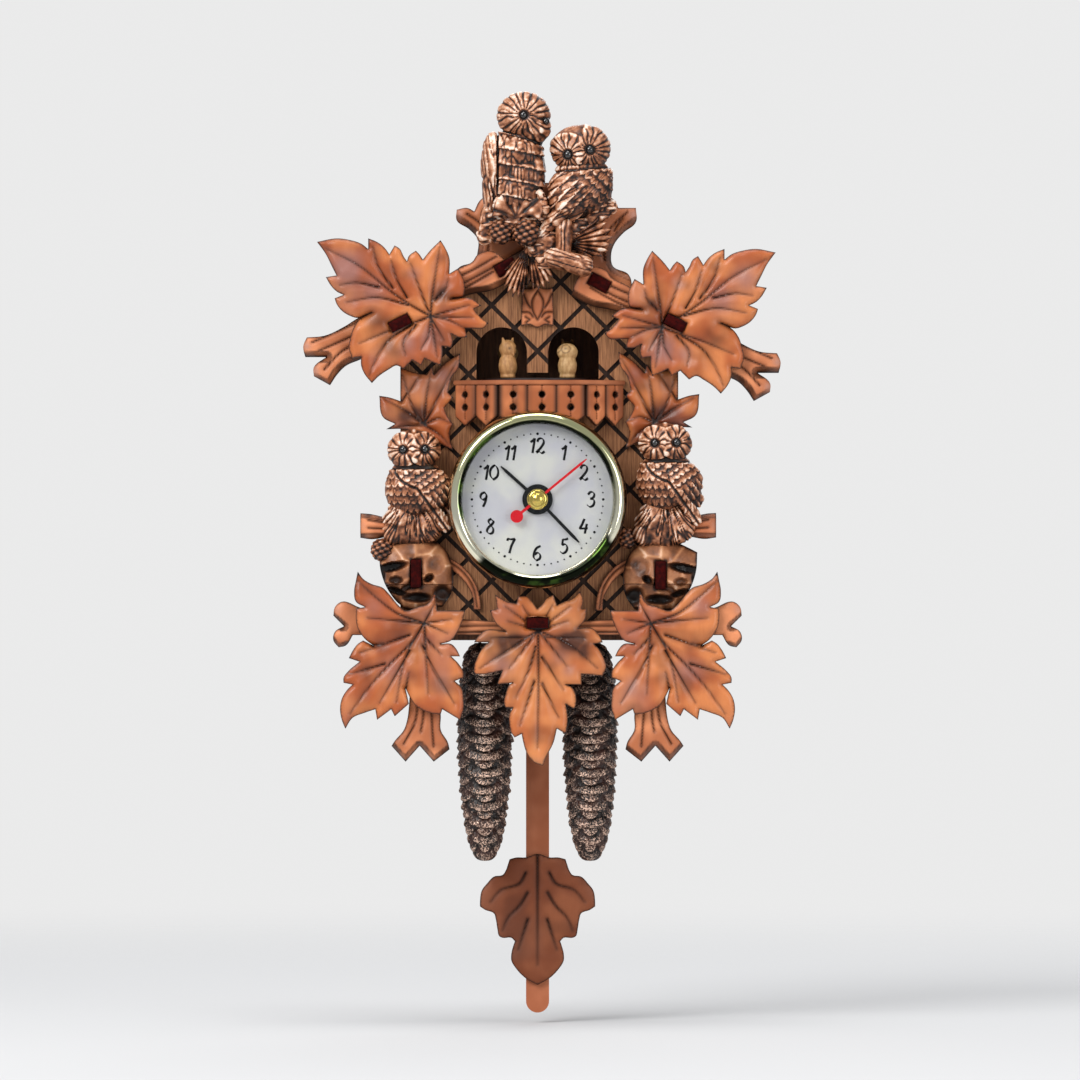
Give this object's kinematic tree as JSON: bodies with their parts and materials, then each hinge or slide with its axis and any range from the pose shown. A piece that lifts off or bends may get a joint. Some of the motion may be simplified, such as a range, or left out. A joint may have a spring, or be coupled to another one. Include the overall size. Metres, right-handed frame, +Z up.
{
  "type": "pendulum wall clock",
  "caption": "Carved wooden pendulum wall clock with owls, maple leaves, pine cone weights, a small figure carousel and a battery movement.",
  "frame": {"origin": "middle of the hanging hole where it meets the wall, on the back face of the back board", "axes": "+Z up, +Y into the wall, so the clock stands out towards -Y; +X is to the right seen from the front"},
  "size_m": [0.1355, 0.048, 0.2621],
  "materials": {
    "carved_leaf": "satin lacquer, airbrushed edges",
    "branch_wood": "satin lacquer",
    "walnut_panel": "satin, vertical grain, black lattice grooves",
    "case_board": "satin stain",
    "fence_wood": "satin lacquer",
    "owl_resin": "copper-bronze dry brushed resin",
    "peg_wood": "satin dark red",
    "bezel_metal": "polished pale gold",
    "lens_glass": "polished",
    "dial_silver": "silver-white satin, printed numerals",
    "hand_black": "gloss black",
    "hand_red": "gloss red",
    "cap_brass": "polished",
    "black_plastic": "fine texture",
    "steel": "brushed",
    "gear_plastic": "smooth",
    "battery_wrap": "satin sleeve",
    "pendulum_wood": "satin lacquer",
    "cone_resin": "speckled bronze resin",
    "carousel_wood": "dark stain",
    "figure_wood": "plain turned wood"
  },
  "bodies": {
    "case": {"back_panel": "case_board", "front_panel": "walnut_panel", "side_panel_left": "case_board", "side_panel_right": "case_board", "bottom_panel": "case_board", "roof_panel_left": "case_board", "roof_panel_right": "case_board", "back_screws": "steel", "crest_board": "branch_wood", "roof_branch_left": "branch_wood", "roof_branch_right": "branch_wood", "top_leaf_left": "carved_leaf", "top_leaf_right": "carved_leaf", "crest_owl_left": "owl_resin", "crest_owl_right": "owl_resin", "crest_perch": "owl_resin", "crest_spray": "owl_resin", "keystone_plaque": "branch_wood", "side_leaves": "carved_leaf", "weight_pins": "steel", "side_owl_left": "owl_resin", "side_owl_right": "owl_resin", "side_stump_left": "owl_resin", "side_stump_right": "owl_resin", "base_rail": "branch_wood", "lower_leaf_left": "carved_leaf", "lower_leaf_right": "carved_leaf", "lower_leaf_center": "carved_leaf", "lower_twigs": "branch_wood", "carving_pegs": "peg_wood", "balcony_floor": "fence_wood", "balcony_fence": "fence_wood", "carousel_shelf": "case_board", "carousel_motor": "steel", "dial_drum": "case_board", "bezel": "bezel_metal", "lens": "lens_glass", "dial": "dial_silver", "movement_housing": "black_plastic", "movement_cover": "black_plastic", "movement_plate": "steel", "shaft_nut": "steel", "aa_battery": "battery_wrap"},
    "minute": {"minute_hand": "hand_black", "cannon_pinion": "cap_brass"},
    "hour": {"hour_hand": "hand_black", "hour_wheel": "gear_plastic"},
    "motion": {"motion_wheel": "gear_plastic"},
    "second": {"second_hand": "hand_red", "second_wheel": "gear_plastic", "hand_cap": "cap_brass"},
    "knob": {"set_knob": "black_plastic"},
    "pendulum": {"pendulum_hanger": "steel", "pendulum_rod": "pendulum_wood", "pendulum_leaf": "pendulum_wood"},
    "carousel": {"turntable": "carousel_wood", "dancer_owls": "figure_wood"},
    "drive_pinion": {"motor_pinion": "cap_brass"},
    "weight_left": {"cone_left": "cone_resin"},
    "weight_right": {"cone_right": "cone_resin"}
  },
  "joints": [
    {"name": "minute_turn", "type": "hinge", "parent": "case", "child": "minute", "pos_m": [0, -0.03, -0.0595], "axis": [0, 1, 0], "continuous": true},
    {"name": "hour_turn", "type": "hinge", "parent": "case", "child": "hour", "pos_m": [0, -0.03, -0.0595], "axis": [0, 1, 0], "continuous": true},
    {"name": "motion_turn", "type": "hinge", "parent": "case", "child": "motion", "pos_m": [-0.008, -0.026, -0.0595], "axis": [0, 1, 0], "continuous": true},
    {"name": "second_turn", "type": "hinge", "parent": "case", "child": "second", "pos_m": [0, -0.03, -0.0595], "axis": [0, 1, 0], "continuous": true},
    {"name": "knob_turn", "type": "hinge", "parent": "case", "child": "knob", "pos_m": [-0.0164, -0.02, -0.0595], "axis": [0, 1, 0], "continuous": true},
    {"name": "pendulum_swing", "type": "hinge", "parent": "case", "child": "pendulum", "pos_m": [0, -0.0125, -0.0852], "axis": [0, 1, 0], "range_deg": [-13.5, 13.5]},
    {"name": "carousel_turn", "type": "hinge", "parent": "case", "child": "carousel", "pos_m": [0, -0.0236, -0.025], "axis": [0, 0, 1], "continuous": true},
    {"name": "drive_turn", "type": "hinge", "parent": "case", "child": "drive_pinion", "pos_m": [-0.0068, -0.0236, -0.0277], "axis": [0, 0, 1], "continuous": true},
    {"name": "weight_left_swing", "type": "hinge", "parent": "case", "child": "weight_left", "pos_m": [-0.015, -0.024, -0.0962], "axis": [0, 1, 0], "range_deg": [-5, 5]},
    {"name": "weight_right_swing", "type": "hinge", "parent": "case", "child": "weight_right", "pos_m": [0.015, -0.024, -0.0962], "axis": [0, 1, 0], "range_deg": [-5, 5]}
  ],
  "couplings": [
    {"joint": "hour_turn", "follows": "minute_turn", "ratio": 0.083333},
    {"joint": "motion_turn", "follows": "minute_turn", "ratio": -0.33333},
    {"joint": "knob_turn", "follows": "minute_turn", "ratio": 0.83333},
    {"joint": "drive_turn", "follows": "carousel_turn", "ratio": -2.4}
  ]
}
